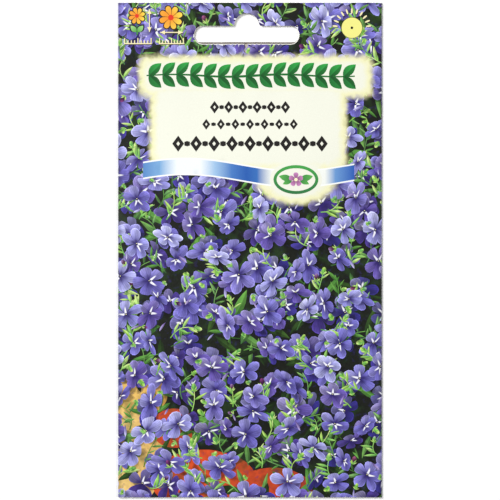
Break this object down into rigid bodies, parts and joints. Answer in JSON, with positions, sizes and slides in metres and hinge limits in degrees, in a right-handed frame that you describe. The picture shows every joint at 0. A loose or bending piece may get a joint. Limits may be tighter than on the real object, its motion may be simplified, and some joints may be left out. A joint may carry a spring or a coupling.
{
  "type": "seed packet",
  "caption": "Flat sealed paper seed packet with a hang slot through its header, a lapped back seam and a small film sachet of seeds inside.",
  "frame": {"origin": "on the table under the middle of the packet, which lies on its back", "axes": "+Y towards the hang slot, +Z out of the printed front, +X to the right as the front is read"},
  "size_m": [0.08, 0.15, 0.0025],
  "materials": {
    "printed_paper": "glossy laminated print",
    "clear_glue": "thin clear film",
    "sachet_film": "satin metallised film",
    "seed_coat": "dry and matt"
  },
  "bodies": {
    "root": {"envelope": "printed_paper", "seam_glue": "clear_glue", "header_glue": "clear_glue", "foot_glue": "clear_glue", "sachet_floor": "sachet_film", "sachet_lid": "sachet_film", "seeds": "seed_coat"}
  },
  "joints": []
}
